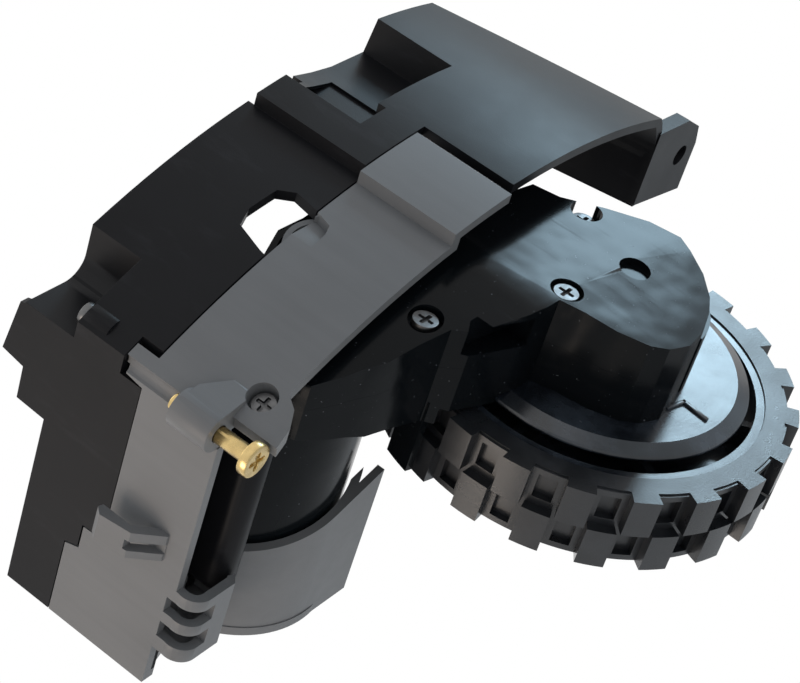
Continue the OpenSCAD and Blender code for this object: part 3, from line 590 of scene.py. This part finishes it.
class WM_OT_end_housing(bpy.types.Operator):
    """Closes the wheel end of the gearbox with a thin stepped moulding"""
    bl_idname = "wheel_module.end_housing"
    bl_label = "End housing"

    def execute(self, context):
        (wide, foot, step), (narrow, low, top) = HOUSING_STEPS
        piece = standing_drum(wide, foot, step)
        merge_with(piece, [standing_drum(narrow, low, top)], "UNION")
        none_selected()
        bpy.ops.mesh.primitive_cube_add(size=CUTTER * MM)
        rest = bpy.context.object
        rest.location = at(HOUSING_EDGE_X + CUTTER / 2, step, 0)
        bpy.ops.object.transform_apply(location=True, rotation=True, scale=True)
        wide_room = standing_drum(wide - HOUSING_WALL, foot - HOUSING_PASS, step - HOUSING_LID)
        narrow_room = standing_drum(narrow - HOUSING_WALL, foot, top - HOUSING_LID)
        merge_with(piece, [wide_room, narrow_room, rest], "DIFFERENCE")
        only(piece)
        bpy.ops.object.shade_smooth_by_angle(angle=TRIM_SMOOTH_ANGLE)
        finished(piece, "end_housing", "gearbox", "arm")
        return {"FINISHED"}


class WM_OT_tyre(bpy.types.Operator):
    """Rounds the lugs and side rings of the tyre"""
    bl_idname = "wheel_module.tyre"
    bl_label = "Tyre"

    def execute(self, context):
        piece = rounded_copy("tyre", "tyre_tread", context.scene.wheel_module.rubber_edge)
        finished(piece, "tyre_tread", "rubber", "wheel")
        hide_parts("tyre")
        return {"FINISHED"}


# The stage. Lengths and places are in metres

SKY_TINT = (0.86, 0.93, 1, 1)
SKY_STRENGTH = 0.5
WHITE = (1, 1, 1, 1)
FLOOR_SIZE = 6
FLOOR_HEIGHT = -0.2
FLOOR_TINT = (0.86, 0.86, 0.86, 1)
FLOOR_ROUGH = 0.9
# Each lamp's name, place, size, power in watts and tint. All of them look at one point
LAMP_AIM = Vector((0.05, 0, 0))
LAMPS = (
    ("key_softbox", (-0.92, 0.60, 0.34), (0.30, 0.26), 3.7, (0.56, 0.82, 1.0)),
    ("top_softbox", (0.1, 0.1, 0.9), (0.8, 0.8), 2.5, (1.0, 0.98, 0.95)),
    ("side_softbox", (0.95, -0.35, 0.15), (0.5, 0.5), 3.1, (1.0, 0.83, 0.68)),
    ("back_softbox", (-0.2, -0.9, 0.4), (0.7, 0.7), 2.0, (1.0, 1.0, 1.0)),
)
# The camera that was fitted to the photo: its focal length and the photo's width in pixels, its
# place, and the ways to the right, down and ahead in the picture
FOCAL_PIXELS = 2579.0
PHOTO_PIXELS = 800
SENSOR_MM = 36
CLIP_START = 0.01
CAMERA_PLACE = (0.3912, 0.24673, -0.14981)
CAMERA_WAYS = Matrix(((-0.5887, 0.2559, -0.7668), (0.3650, -0.7622, -0.5346), (-0.7213, -0.5946, 0.3553)))
# A camera object here looks along its own -Z with +Y up
DOWN_AHEAD_TO_UP_BACK = Matrix(((1, 0, 0), (0, -1, 0), (0, 0, -1)))


def white_for_eyes(world, tint, strength):
    """Lights with a tint and strength, and shows plain white to the camera, in mirrors and through glass."""
    tree = world.node_tree
    light = tree.nodes["Background"]
    light.inputs["Color"].default_value = tint
    light.inputs["Strength"].default_value = strength
    white = tree.nodes.new("ShaderNodeBackground")
    white.inputs["Color"].default_value = WHITE
    white.inputs["Strength"].default_value = 1.0
    path = tree.nodes.new("ShaderNodeLightPath")
    seen = path.outputs["Is Camera Ray"]
    for ray in ("Is Glossy Ray", "Is Transmission Ray"):
        either = tree.nodes.new("ShaderNodeMath")
        either.operation = "MAXIMUM"
        tree.links.new(seen, either.inputs[0])
        tree.links.new(path.outputs[ray], either.inputs[1])
        seen = either.outputs[0]
    mix = tree.nodes.new("ShaderNodeMixShader")
    for a, b in zip((seen, light.outputs[0], white.outputs[0]), mix.inputs):
        tree.links.new(a, b)
    tree.links.new(mix.outputs[0], tree.nodes["World Output"].inputs["Surface"])


class WM_OT_stage(bpy.types.Operator):
    """Sets the floor, the studio lights and the camera"""
    bl_idname = "wheel_module.stage"
    bl_label = "Stage"

    def execute(self, context):
        scene = context.scene
        scene.view_settings.view_transform = "Standard"
        world = bpy.data.worlds.new("studio")
        scene.world = world
        world.use_nodes = True
        white_for_eyes(world, SKY_TINT, SKY_STRENGTH)
        none_selected()
        bpy.ops.mesh.primitive_plane_add(size=FLOOR_SIZE, location=(0, 0, FLOOR_HEIGHT))
        floor = bpy.context.object
        floor.name = "floor"
        bpy.ops.object.transform_apply(location=True, rotation=True, scale=True)
        pale = bpy.data.materials.new("floor_pale")
        pale.use_nodes = True
        shader = pale.node_tree.nodes["Principled BSDF"]
        shader.inputs["Base Color"].default_value = FLOOR_TINT
        shader.inputs["Roughness"].default_value = FLOOR_ROUGH
        floor.data.materials.append(pale)
        for name, place, size, power, tint in LAMPS:
            lamp = bpy.data.lights.new(name, "AREA")
            lamp.shape = "RECTANGLE"
            lamp.size, lamp.size_y = size
            lamp.energy = power
            lamp.color = tint
            ob = bpy.data.objects.new(name, lamp)
            scene.collection.objects.link(ob)
            ob.location = place
            ob.rotation_euler = (LAMP_AIM - Vector(place)).to_track_quat("-Z", "Y").to_euler()
        cam = bpy.data.cameras.new("photo_camera")
        cam.sensor_width = SENSOR_MM
        cam.lens = FOCAL_PIXELS / PHOTO_PIXELS * SENSOR_MM
        cam.clip_start = CLIP_START
        ob = bpy.data.objects.new("photo_camera", cam)
        scene.collection.objects.link(ob)
        turn = CAMERA_WAYS.transposed() @ DOWN_AHEAD_TO_UP_BACK
        ob.matrix_world = Matrix.Translation(CAMERA_PLACE) @ turn.to_4x4()
        scene.camera = ob
        return {"FINISHED"}


class WM_PT_module(bpy.types.Panel):
    """Steps that dress the wheel module, in order"""
    bl_label = "Wheel Module"
    bl_idname = "WM_PT_module"
    bl_space_type = "VIEW_3D"
    bl_region_type = "UI"
    bl_category = "Wheel Module"

    def draw(self, context):
        looks = context.scene.wheel_module
        for name in ModuleLooks.__annotations__:
            self.layout.prop(looks, name)
        for step in STEPS:
            self.layout.operator(step.bl_idname)


STEPS = (WM_OT_finishes, WM_OT_mouldings, WM_OT_disc_rib, WM_OT_end_housing, WM_OT_tyre, WM_OT_stage)
CLASSES = (ModuleLooks,) + STEPS + (WM_PT_module,)


def register():
    for c in CLASSES:
        bpy.utils.register_class(c)
    bpy.types.Scene.wheel_module = bpy.props.PointerProperty(type=ModuleLooks)


def unregister():
    del bpy.types.Scene.wheel_module
    for c in reversed(CLASSES):
        bpy.utils.unregister_class(c)


def main():
    register()
    bpy.ops.wheel_module.finishes()
    bpy.ops.wheel_module.mouldings()
    bpy.ops.wheel_module.disc_rib()
    bpy.ops.wheel_module.end_housing()
    bpy.ops.wheel_module.tyre()
    bpy.ops.wheel_module.stage()


if __name__ == "__main__":
    main()
